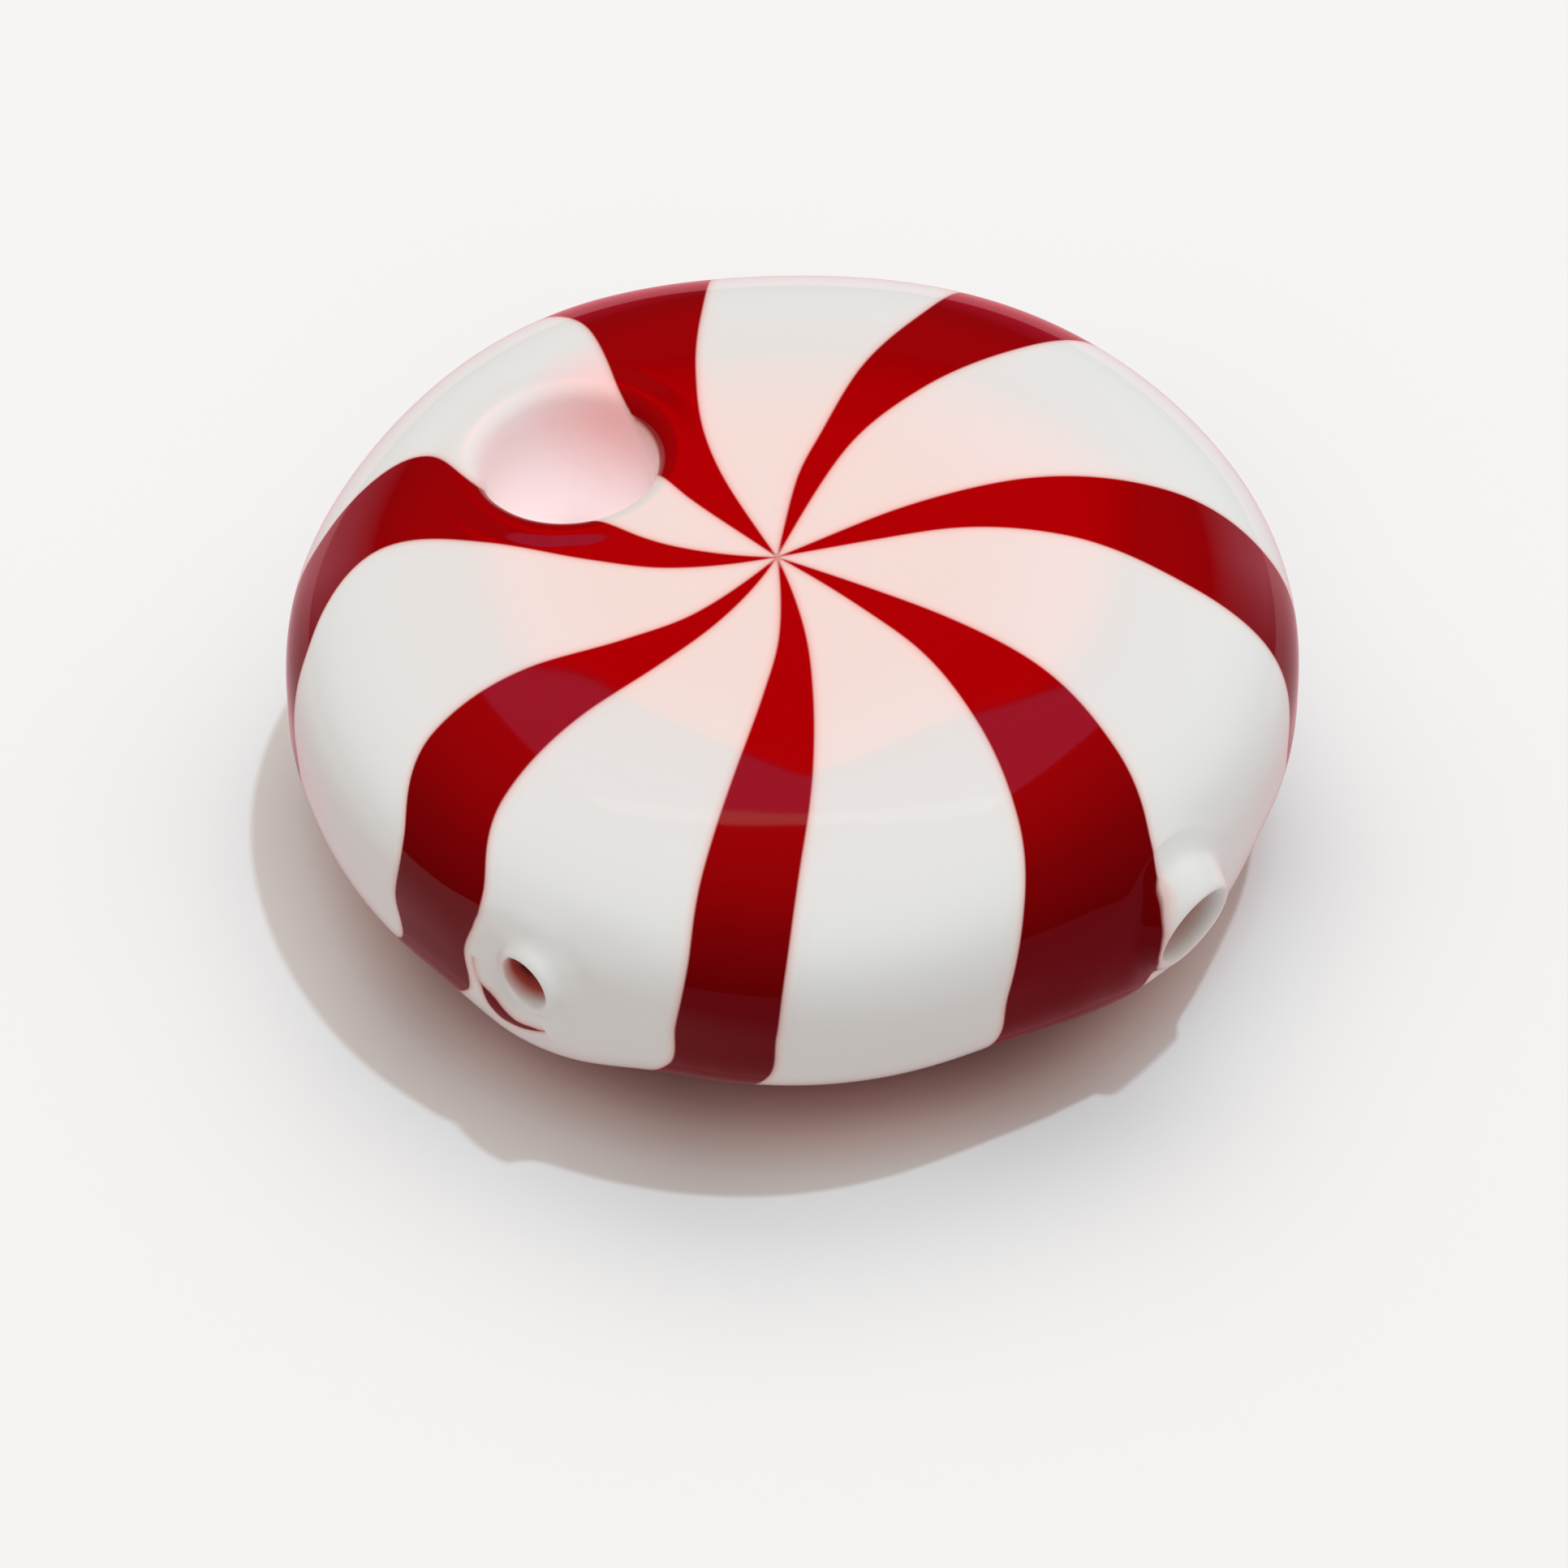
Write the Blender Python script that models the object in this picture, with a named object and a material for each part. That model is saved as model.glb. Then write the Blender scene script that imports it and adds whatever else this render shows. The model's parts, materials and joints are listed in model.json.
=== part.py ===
"""A hand-blown glass pipe in the form of a striped mint sweet: one hollow piece of white glass
with seven red stripes, a bowl pressed into the crown, a short mouthpiece and a thumb hole.

Origin: centre of the flat spot it rests on. +Z up, +X towards the mouthpiece, the bowl towards -X.
"""

from bisect import bisect_left
from math import acos, atan2, cos, degrees, hypot, pi, radians, sin, tan

import bmesh
import bpy
from mathutils import Matrix, Vector
from mathutils.bvhtree import BVHTree

MM = 0.001

# The blown form: a flattened globe, squarer above its widest plane than below it.
BODY_RADIUS = 45.0 * MM
CROWN_HEIGHT = 15.75 * MM
CROWN_SQUARENESS = 4.0
BELLY_DEPTH = 15.45 * MM
BELLY_SQUARENESS = 2.0
REST_RADIUS = 9.0 * MM
REST_SHARE = REST_RADIUS / BODY_RADIUS
WIDEST_HEIGHT = BELLY_DEPTH * (1 - REST_SHARE**BELLY_SQUARENESS) ** (1 / BELLY_SQUARENESS)
WALL = 3.5 * MM
DRILL_OVERLAP = 0.5 * MM

# Faces along each side of the six patches that cover the outside, and the chamber inside.
OUTSIDE_GRID = 20
CHAMBER_GRID = 10

# Hand shaping leaves the rim a little out of round: waves in a turn, depth, azimuth of a crest.
UNEVENNESS = (
    (2, 0.0074, 78), (3, 0.006, 56), (4, 0.0023, 43), (5, 0.0064, 24), (6, 0.0024, 36), (7, 0.003, 59),
)

# Low swellings that were pushed out below the mouthpiece and the thumb hole: azimuth, height of the
# middle above the rest, radius, and how far it stands out.
SWELLINGS = (
    (-4, 10.0 * MM, 19.0 * MM, 2.1 * MM),
    (-79, 10.5 * MM, 12.5 * MM, 1.5 * MM),
)

# Each feature is drawn out of, or pressed into, a round hole of radius `spread` in the form. Its
# section lists rings in millimetres: radius, height along the feature's own axis, and how much
# the ring still lies on the form (1) and not level (0).

# The bowl: a dish with a rolled lip and a throat into the chamber.
BOWL_PLACE = (-23.9 * MM, -2.6 * MM)
BOWL_PATCH = 9.1 * MM
BOWL_SPREAD = 12.2 * MM
BOWL_SECTION = (
    (11.0, 0.05, 1.0), (9.9, 0.0, 1.0), (9.1, -0.4, 1.0), (8.5, -1.2, 0.8), (8.1, -2.4, 0.4),
    (7.7, -4.0, 0.1), (6.9, -5.9, 0.0), (5.6, -7.6, 0.0), (4.0, -8.8, 0.0), (2.8, -9.4, 0.0),
    (2.2, -10.2, 0.0), (2.1, -11.2, 0.0),
)
THROAT_RADIUS = 1.8 * MM
THROAT_DEPTH = 16.0 * MM
BOWL_WALL_RADIUS = 11.6 * MM
BOWL_WALL_DEPTH = 13.6 * MM

# The mouthpiece: a short neck with a rolled lip, drooping a little.
MOUTH_AZIMUTH = -1.5
MOUTH_DROOP = 14.0
MOUTH_RISE = 1.0 * MM
MOUTH_PATCH = 6.6 * MM
MOUTH_SPREAD = 9.0 * MM
MOUTH_SECTION = (
    (7.6, 0.0, 1.0), (6.8, 0.15, 0.85), (6.2, 0.45, 0.6), (5.75, 0.9, 0.35), (5.35, 1.35, 0.15),
    (4.95, 1.65, 0.05), (4.5, 1.65, 0.0), (4.1, 1.25, 0.0), (3.8, 0.5, 0.0), (3.6, -0.6, 0.0),
)
MOUTH_BORE = 3.5 * MM
MOUTH_BORE_DEPTH = 9.0 * MM
MOUTH_COLLAR = 7.5 * MM

# The thumb hole: a smaller nub of the same make, a little above the widest plane.
THUMB_AZIMUTH = -80.0
THUMB_RISE = 4.1 * MM
THUMB_PATCH = 5.3 * MM
THUMB_SPREAD = 7.2 * MM
THUMB_SECTION = (
    (6.0, 0.0, 1.0), (5.0, 0.0, 1.0), (4.2, 0.1, 0.95), (3.7, 0.3, 0.8), (3.3, 0.5, 0.65),
    (2.95, 0.5, 0.5), (2.65, 0.2, 0.35), (2.5, -0.5, 0.15), (2.45, -1.8, 0.0),
)
THUMB_BORE = 2.15 * MM
THUMB_BORE_DEPTH = 7.0 * MM
THUMB_COLLAR = 7.1 * MM

# The stripes, each by the azimuths of its two edges at these latitudes, which run from 0 at the
# swirl's centre on top through 90 at the widest plane to 180 underneath.
SWIRL_CENTRE = (-0.96 * MM, -0.8 * MM)
SWIRL_FINE_RADII = (20.0 * MM, 11.0 * MM)
LATITUDES = (0, 12, 20, 30, 42, 56, 75, 95, 180)
STRIPES = (
    ((3, 0, -2, -8, -15, -21, -24, -25, -34), (16, 15, 14, 11, 4, -2, -4, -5, -18)),
    ((54, 54, 53, 47, 37, 31, 27, 26, 18), (70, 70, 68, 64, 56, 46, 40, 38, 33)),
    ((108, 107, 105, 99, 92, 88, 84, 82, 70), (121, 120, 116, 113, 108, 106, 103, 102, 85)),
    ((157, 156, 153, 147, 141, 138, 136, 135, 121), (177, 177, 174, 164, 159, 161, 158, 156, 137)),
    ((219, 211, 204, 203, 195, 211, 219, 219, 173), (235, 228, 221, 215, 215, 229, 234, 235, 188)),
    ((269, 264, 257, 251, 253, 261, 262, 262, 225), (285, 277, 272, 268, 269, 274, 273, 273, 240)),
    ((316, 311, 306, 302, 300, 300, 299, 298, 276), (330, 325, 321, 317, 313, 311, 310, 309, 292)),
)

WHITE = (0.80, 0.76, 0.74, 1.0)
RED = (0.42, 0.004, 0.006, 1.0)


def profile_point(turn, wall):
    """Radius and height of the form's section at an angle from straight up, a wall inside it."""
    above = turn < pi / 2
    squareness = CROWN_SQUARENESS if above else BELLY_SQUARENESS
    across = sin(turn) / (BODY_RADIUS - wall)
    along = abs(cos(turn)) / ((CROWN_HEIGHT if above else BELLY_DEPTH) - wall)
    reach = (across**squareness + along**squareness) ** (-1 / squareness)
    return reach * sin(turn), WIDEST_HEIGHT + reach * cos(turn)


def even_profile(wall, steps=720):
    """The section by the share of its length from the top, so that faces come out alike in size."""
    points = [profile_point(pi * step / steps, wall) for step in range(steps + 1)]
    lengths = [0.0]
    for (r0, z0), (r1, z1) in zip(points, points[1:]):
        lengths.append(lengths[-1] + hypot(r1 - r0, z1 - z0))

    def at(share):
        wanted = share * lengths[-1]
        after = min(max(bisect_left(lengths, wanted), 1), steps)
        t = (wanted - lengths[after - 1]) / (lengths[after] - lengths[after - 1])
        (r0, z0), (r1, z1) = points[after - 1], points[after]
        return r0 + t * (r1 - r0), z0 + t * (z1 - z0)

    return at


def roundness(azimuth):
    return 1 + sum(depth * cos(waves * (azimuth - radians(crest))) for waves, depth, crest in UNEVENNESS)


def push_out_swellings(bm):
    bm.normal_update()
    for azimuth, rise, reach, height in SWELLINGS:
        depth = (WIDEST_HEIGHT - rise) / BELLY_DEPTH
        radius = BODY_RADIUS * (1 - depth**BELLY_SQUARENESS) ** (1 / BELLY_SQUARENESS)
        middle = Vector((radius * cos(radians(azimuth)), radius * sin(radians(azimuth)), rise))
        for vert in bm.verts:
            nearness = max(0.0, 1 - (vert.co - middle).length / reach)
            vert.co += vert.normal * height * sin(nearness * pi / 2) ** 2
    for vert in bm.verts:
        vert.co.z = max(vert.co.z, 0.0)


def blown_form(wall, grid):
    """A cube's grid of faces blown out to the form, resting on a flat spot."""
    bm = bmesh.new()
    bmesh.ops.create_cube(bm, size=2.0)
    bmesh.ops.subdivide_edges(bm, edges=bm.edges[:], cuts=grid - 1, use_grid_fill=True)
    section = even_profile(wall)
    for vert in bm.verts:
        direction = Vector([tan(c * pi / 4) for c in vert.co]).normalized()
        radius, height = section(acos(direction.z) / pi)
        azimuth = atan2(direction.y, direction.x)
        radius *= roundness(azimuth)
        vert.co = (radius * cos(azimuth), radius * sin(azimuth), max(height, wall))
    return bm


def frame_on(surface, start, inwards, droop=0.0):
    """A frame on the form where a ray meets it, its Z pointing back out, turned down by droop."""
    origin, normal = surface.ray_cast(start, inwards)[:2]
    out = normal if abs(inwards.z) > 0.5 else -inwards
    side = Vector((0, 0, 1)).cross(out).normalized() if abs(inwards.z) < 0.5 else Vector((0, 1, 0))
    out = Matrix.Rotation(radians(droop), 3, side) @ out
    along = out.cross(side).normalized()
    turned = Matrix((side, along, out)).transposed().to_4x4()
    return Matrix.Translation(origin) @ turned


def radial_frame(surface, azimuth, rise, droop=0.0):
    out = Vector((cos(radians(azimuth)), sin(radians(azimuth)), 0))
    return frame_on(surface, 2 * BODY_RADIUS * out + Vector((0, 0, WIDEST_HEIGHT + rise)), -out, droop)


def lying_point(surface, frame, angle, radius):
    """The point of the form that lies under a circle round the frame's axis."""
    start = frame @ Vector((radius * cos(angle), radius * sin(angle), BODY_RADIUS / 2))
    return surface.ray_cast(start, -frame.col[2].xyz)[0]


def open_patch(bm, surface, frame, half_side, spread):
    """Takes a square of faces out round the frame's axis and rounds the hole's edge to a circle."""
    inverse = frame.inverted()
    middles = {face: inverse @ face.calc_center_median() for face in bm.faces}
    gone = {f for f, m in middles.items() if max(abs(m.x), abs(m.y), abs(m.z) / 2) < half_side}
    edge = [e for e in bm.edges if sum(face in gone for face in e.link_faces) == 1]
    bmesh.ops.delete(bm, geom=list(gone), context="FACES")
    rim = {vert for e in edge for vert in e.verts}
    for vert in rim:
        local = inverse @ vert.co
        angle, radius = atan2(local.y, local.x), spread
        for _ in range(6):
            vert.co = lying_point(surface, frame, angle, radius)
            radius *= spread / (vert.co - frame.translation).length
    near = [v for v in bm.verts if v not in rim and (v.co - frame.translation).length < 2 * spread]
    for _ in range(8):
        bmesh.ops.smooth_vert(bm, verts=near, factor=0.5, use_axis_x=True, use_axis_y=True, use_axis_z=True)
        for vert in near:
            vert.co = surface.find_nearest(vert.co)[0]
    return edge


def draw_out(bm, surface, frame, edge, section):
    """Extrudes the hole's edge ring by ring along the section, and closes it with a face."""
    inverse = frame.inverted()
    for radius, height, lying in section:
        made = bmesh.ops.extrude_edge_only(bm, edges=edge)["geom"]
        edge = [e for e in made if isinstance(e, bmesh.types.BMEdge) and len(e.link_faces) == 1]
        for vert in {vert for e in edge for vert in e.verts}:
            local = inverse @ vert.co
            angle = atan2(local.y, local.x)
            lain = inverse @ lying_point(surface, frame, angle, radius * MM)
            vert.co = frame @ Vector((lain.x, lain.y, height * MM + lying * lain.z))
    bmesh.ops.contextual_create(bm, geom=edge)


def between(values, latitude):
    after = min(max(bisect_left(LATITUDES, latitude), 1), len(LATITUDES) - 1)
    low, high = LATITUDES[after - 1], LATITUDES[after]
    t = (latitude - low) / (high - low)
    return values[after - 1] + t * (values[after] - values[after - 1])


def refine_swirl(bm, bowl):
    """Smaller faces where the stripes run together, so that their points stay sharp."""
    centre = Vector((*SWIRL_CENTRE, WIDEST_HEIGHT + CROWN_HEIGHT))
    for fine_radius in SWIRL_FINE_RADII:
        near = set()
        for face in bm.faces:
            middle = face.calc_center_median()
            if (middle - centre).length < fine_radius and (middle - bowl.translation).length > BOWL_SPREAD:
                near.update(face.edges)
        bmesh.ops.subdivide_edges(bm, edges=list(near), cuts=1, use_grid_fill=True)


def depth_in_stripe(point, collars):
    """How far a point lies inside the nearest stripe, in metres, and below 0 outside it. A collar of
    plain glass, by the inverse of its frame and its radius, covers the stripes round each nub."""
    x, y = point.x - SWIRL_CENTRE[0], point.y - SWIRL_CENTRE[1]
    height = (point.z - WIDEST_HEIGHT) / (CROWN_HEIGHT if point.z > WIDEST_HEIGHT else BELLY_DEPTH)
    latitude = degrees(atan2(hypot(x, y) / BODY_RADIUS, height))
    azimuth = degrees(atan2(y, x))
    depths = []
    for first, last in STRIPES:
        low, high = between(first, latitude), between(last, latitude)
        middle, half = (low + high) / 2, (high - low) / 2
        depths.append(half - abs((azimuth - middle + 180) % 360 - 180))
    depth = radians(max(depths)) * hypot(x, y)
    for inverse, radius in collars:
        local = inverse @ point
        if local.z > -BODY_RADIUS / 4:
            depth = min(depth, hypot(local.x, local.y) - radius)
    return depth


def mesh_object(name, bm, material=None):
    bmesh.ops.recalc_face_normals(bm, faces=bm.faces[:])
    mesh = bpy.data.meshes.new(name)
    bm.to_mesh(mesh)
    bm.free()
    mesh.shade_smooth()
    if material:
        mesh.materials.append(material)
    made = bpy.data.objects.new(name, mesh)
    bpy.context.scene.collection.objects.link(made)
    return made


def cutter(name, bm):
    made = mesh_object(name, bm)
    made.hide_render = True
    made.display_type = "WIRE"
    return made


def drill(name, frame, section, radius, depth, sides=24):
    """A cylinder along a frame's axis, from just above the section's blind end down to a depth."""
    top = section[-1][1] * MM + DRILL_OVERLAP
    bottom = -depth
    bm = bmesh.new()
    size = {"radius1": radius, "radius2": radius, "depth": top - bottom}
    bmesh.ops.create_cone(bm, cap_ends=True, segments=sides, **size)
    bmesh.ops.transform(bm, matrix=frame @ Matrix.Translation((0, 0, (top + bottom) / 2)), verts=bm.verts[:])
    return cutter(name, bm)


def cut(body, tool):
    modifier = body.modifiers.new(tool.name, "BOOLEAN")
    modifier.operation = "DIFFERENCE"
    modifier.solver = "EXACT"
    modifier.object = tool


def striped_glass():
    """White glass, red where the attribute says that a stripe runs."""
    material = bpy.data.materials.new("striped_glass")
    material.use_nodes = True
    nodes, links = material.node_tree.nodes, material.node_tree.links
    shader = nodes["Principled BSDF"]
    shader.inputs["Roughness"].default_value = 0.06
    shader.inputs["Metallic"].default_value = 0.0
    shader.inputs["IOR"].default_value = 1.5
    stripe = nodes.new("ShaderNodeAttribute")
    stripe.attribute_name = "stripe_depth"
    inside = nodes.new("ShaderNodeMath")
    inside.operation = "GREATER_THAN"
    inside.inputs[1].default_value = 0.0
    colour = nodes.new("ShaderNodeMix")
    colour.data_type = "RGBA"
    colour.inputs["A"].default_value = WHITE
    colour.inputs["B"].default_value = RED
    links.new(stripe.outputs["Fac"], inside.inputs[0])
    links.new(inside.outputs["Value"], colour.inputs["Factor"])
    links.new(colour.outputs["Result"], shader.inputs["Base Color"])
    return material


def build():
    for old in list(bpy.data.objects):
        bpy.data.objects.remove(old)

    bm = blown_form(0.0, OUTSIDE_GRID)
    push_out_swellings(bm)
    surface = BVHTree.FromBMesh(bm)
    bowl = frame_on(surface, Vector((*BOWL_PLACE, 2 * BODY_RADIUS)), Vector((0, 0, -1)))
    mouth = radial_frame(surface, MOUTH_AZIMUTH, MOUTH_RISE, MOUTH_DROOP)
    thumb = radial_frame(surface, THUMB_AZIMUTH, THUMB_RISE)
    features = (
        (bowl, BOWL_PATCH, BOWL_SPREAD, BOWL_SECTION),
        (mouth, MOUTH_PATCH, MOUTH_SPREAD, MOUTH_SECTION),
        (thumb, THUMB_PATCH, THUMB_SPREAD, THUMB_SECTION),
    )
    for frame, half_side, spread, section in features:
        edge = open_patch(bm, surface, frame, half_side, spread)
        draw_out(bm, surface, frame, edge, section)
    refine_swirl(bm, bowl)
    pipe = mesh_object("glass_pipe", bm, striped_glass())
    collars = ((mouth.inverted(), MOUTH_COLLAR), (thumb.inverted(), THUMB_COLLAR))
    depths = pipe.data.attributes.new("stripe_depth", "FLOAT", "POINT")
    depths.data.foreach_set("value", [depth_in_stripe(vert.co, collars) for vert in pipe.data.vertices])

    # The chamber follows the outside, a wall within it, and goes round the back of the bowl.
    chamber = cutter("chamber", blown_form(WALL, CHAMBER_GRID))
    wall = bmesh.new()
    shape = Matrix.Diagonal((BOWL_WALL_RADIUS, BOWL_WALL_RADIUS, BOWL_WALL_DEPTH, 1))
    bmesh.ops.create_uvsphere(wall, u_segments=24, v_segments=12, radius=1, matrix=bowl @ shape)
    cut(chamber, cutter("bowl_wall", wall))

    cut(pipe, chamber)
    cut(pipe, drill("throat", bowl, BOWL_SECTION, THROAT_RADIUS, THROAT_DEPTH, sides=16))
    cut(pipe, drill("mouth_bore", mouth, MOUTH_SECTION, MOUTH_BORE, MOUTH_BORE_DEPTH))
    cut(pipe, drill("thumb_bore", thumb, THUMB_SECTION, THUMB_BORE, THUMB_BORE_DEPTH, sides=20))


build()
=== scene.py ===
"""A hollow glass hand pipe blown in the form of a striped mint sweet, in one piece.

The sections follow the glass as it is worked: the blown body, the bowl, the mouthpiece, the thumb
hole, the hollow inside, the skin and its red stripes, the finish, and last the studio round it.
"""

import json
from bisect import bisect_left
from math import acos, atan2, cos, degrees, hypot, pi, radians, sin, tan

import bmesh
import bpy
from mathutils import Matrix, Vector
from mathutils.bvhtree import BVHTree
from numpy import interp


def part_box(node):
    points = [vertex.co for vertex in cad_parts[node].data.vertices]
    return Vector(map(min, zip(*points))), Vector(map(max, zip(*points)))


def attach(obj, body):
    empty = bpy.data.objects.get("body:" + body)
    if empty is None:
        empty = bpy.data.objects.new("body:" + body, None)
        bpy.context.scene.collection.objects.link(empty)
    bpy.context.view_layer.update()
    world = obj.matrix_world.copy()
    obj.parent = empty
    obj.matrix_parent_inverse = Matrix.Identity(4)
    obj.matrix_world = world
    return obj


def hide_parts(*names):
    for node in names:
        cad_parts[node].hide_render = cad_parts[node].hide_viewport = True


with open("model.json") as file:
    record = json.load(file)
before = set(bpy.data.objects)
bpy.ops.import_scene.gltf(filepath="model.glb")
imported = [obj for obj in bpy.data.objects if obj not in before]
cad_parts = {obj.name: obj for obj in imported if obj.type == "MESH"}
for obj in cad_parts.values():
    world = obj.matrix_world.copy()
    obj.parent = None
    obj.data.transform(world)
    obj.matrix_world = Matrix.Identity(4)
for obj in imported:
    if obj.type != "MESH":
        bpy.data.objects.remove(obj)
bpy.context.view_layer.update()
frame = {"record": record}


# ---- The blown body -------------------------------------------------------------------------------
# A flattened globe of opaque white glass, blown and then set down on a flat spot while it is soft.
# It is squarer above its widest plane than below it, and hand shaping left it a little out of round.

MM = 0.001
pipe_low, pipe_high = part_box("glass_pipe")
BODY_RADIUS = 45.0 * MM
CROWN_HEIGHT = 15.75 * MM
CROWN_SQUARENESS = 4.0
BELLY_DEPTH = 15.45 * MM
BELLY_SQUARENESS = 2.0
WIDEST_HEIGHT = pipe_high.z - CROWN_HEIGHT
BODY_GRID = 20
# How many waves go round the outline, how deep they are as a share of the radius, and where they crest.
UNEVENNESS = (
    (2, 0.0074, 78), (3, 0.006, 56), (4, 0.0023, 43), (5, 0.0064, 24), (6, 0.0024, 36), (7, 0.003, 59),
)
# Azimuth, height of the middle above the rest, radius, and how far each swelling stands out.
SWELLINGS = (
    (-4, 10.0 * MM, 19.0 * MM, 2.1 * MM),
    (-79, 10.5 * MM, 12.5 * MM, 1.5 * MM),
)


def profile_point(turn, wall):
    """Radius and height of the globe's section at an angle from straight up, a wall inside it."""
    above = turn < pi / 2
    squareness = CROWN_SQUARENESS if above else BELLY_SQUARENESS
    across = sin(turn) / (BODY_RADIUS - wall)
    along = abs(cos(turn)) / ((CROWN_HEIGHT if above else BELLY_DEPTH) - wall)
    reach = (across**squareness + along**squareness) ** (-1 / squareness)
    return reach * sin(turn), WIDEST_HEIGHT + reach * cos(turn)


def even_profile(wall, steps=720):
    """The section by the share of its length from the top, so that faces come out alike in size."""
    points = [profile_point(pi * step / steps, wall) for step in range(steps + 1)]
    lengths = [0.0]
    for (r0, z0), (r1, z1) in zip(points, points[1:]):
        lengths.append(lengths[-1] + hypot(r1 - r0, z1 - z0))

    def at(share):
        wanted = share * lengths[-1]
        after = min(max(bisect_left(lengths, wanted), 1), steps)
        t = (wanted - lengths[after - 1]) / (lengths[after] - lengths[after - 1])
        (r0, z0), (r1, z1) = points[after - 1], points[after]
        return r0 + t * (r1 - r0), z0 + t * (z1 - z0)

    return at


def roundness(azimuth):
    return 1 + sum(depth * cos(waves * (azimuth - radians(crest))) for waves, depth, crest in UNEVENNESS)


def blown_globe(wall, grid):
    globe = bmesh.new()
    bmesh.ops.create_cube(globe, size=2.0)
    bmesh.ops.subdivide_edges(globe, edges=globe.edges[:], cuts=grid - 1, use_grid_fill=True)
    section = even_profile(wall)
    for vert in globe.verts:
        direction = Vector([tan(c * pi / 4) for c in vert.co]).normalized()
        radius, height = section(acos(direction.z) / pi)
        azimuth = atan2(direction.y, direction.x)
        radius *= roundness(azimuth)
        vert.co = (radius * cos(azimuth), radius * sin(azimuth), max(height, wall))
    return globe


body = blown_globe(0.0, BODY_GRID)
body.normal_update()
for azimuth, rise, reach, height in SWELLINGS:
    depth = (WIDEST_HEIGHT - rise) / BELLY_DEPTH
    radius = BODY_RADIUS * (1 - depth**BELLY_SQUARENESS) ** (1 / BELLY_SQUARENESS)
    middle = Vector((radius * cos(radians(azimuth)), radius * sin(radians(azimuth)), rise))
    for vert in body.verts:
        nearness = max(0.0, 1 - (vert.co - middle).length / reach)
        vert.co += vert.normal * height * sin(nearness * pi / 2) ** 2
for vert in body.verts:
    vert.co.z = max(vert.co.z, 0.0)
body_surface = BVHTree.FromBMesh(body)


# ---- The bowl -------------------------------------------------------------------------------------
# A dish pressed into the crown while the glass was hot, with a soft rolled lip. A narrow throat at
# its bottom leads into the hollow body. Its place is the middle of the record's bowl opening.

openings = {entry["name"]: entry["box_m"] for entry in frame["record"]["physics"]["openings"]}
bowl_box = openings["bowl"]
BOWL_PLACE = ((bowl_box[0][0] + bowl_box[1][0]) / 2, (bowl_box[0][1] + bowl_box[1][1]) / 2)
BOWL_PATCH = 9.1 * MM
BOWL_SPREAD = 12.2 * MM
# Rings from the outside in: radius and height along the bowl's own axis in millimetres, and how
# much the ring still lies on the globe (1) and not level (0). The other sections are written alike.
BOWL_SECTION = (
    (10.9, 0.1, 1.0), (9.7, 0.1, 1.0), (8.8, -0.25, 1.0), (8.2, -1.0, 0.8), (7.8, -2.2, 0.4),
    (7.4, -3.9, 0.1), (6.7, -5.8, 0.0), (5.4, -7.6, 0.0), (3.9, -9.0, 0.0), (2.7, -10.0, 0.0),
    (1.95, -10.9, 0.0), (1.8, -11.7, 0.0), (1.8, -12.8, 0.0),
)


def place_on(surface, start, inwards, droop=0.0):
    """A frame on the globe where a ray meets it, its Z pointing back out, turned down by droop."""
    origin, normal = surface.ray_cast(start, inwards)[:2]
    out = normal if abs(inwards.z) > 0.5 else -inwards
    side = Vector((0, 0, 1)).cross(out).normalized() if abs(inwards.z) < 0.5 else Vector((0, 1, 0))
    out = Matrix.Rotation(radians(droop), 3, side) @ out
    along = out.cross(side).normalized()
    turned = Matrix((side, along, out)).transposed().to_4x4()
    return Matrix.Translation(origin) @ turned


def lying_point(surface, place, angle, radius):
    """The point of the globe that lies under a circle round the place's axis."""
    start = place @ Vector((radius * cos(angle), radius * sin(angle), BODY_RADIUS / 2))
    return surface.ray_cast(start, -place.col[2].xyz)[0]


def open_patch(globe, surface, place, half_side, spread, rounds=8):
    """Takes a square of faces out round the place's axis and rounds the hole's edge to a circle."""
    inverse = place.inverted()
    middles = {face: inverse @ face.calc_center_median() for face in globe.faces}
    gone = {f for f, m in middles.items() if max(abs(m.x), abs(m.y), abs(m.z) / 2) < half_side}
    edge = [e for e in globe.edges if sum(face in gone for face in e.link_faces) == 1]
    bmesh.ops.delete(globe, geom=list(gone), context="FACES")
    rim = {vert for e in edge for vert in e.verts}
    for vert in rim:
        local = inverse @ vert.co
        angle, radius = atan2(local.y, local.x), 0.8 * spread
        for _ in range(6):
            vert.co = lying_point(surface, place, angle, radius)
            radius *= spread / (vert.co - place.translation).length
    near = [v for v in globe.verts if v not in rim and (v.co - place.translation).length < 2 * spread]
    for _ in range(rounds):
        bmesh.ops.smooth_vert(
            globe, verts=near, factor=0.5, use_axis_x=True, use_axis_y=True, use_axis_z=True
        )
        for vert in near:
            vert.co = surface.find_nearest(vert.co)[0]
    return edge


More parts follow.
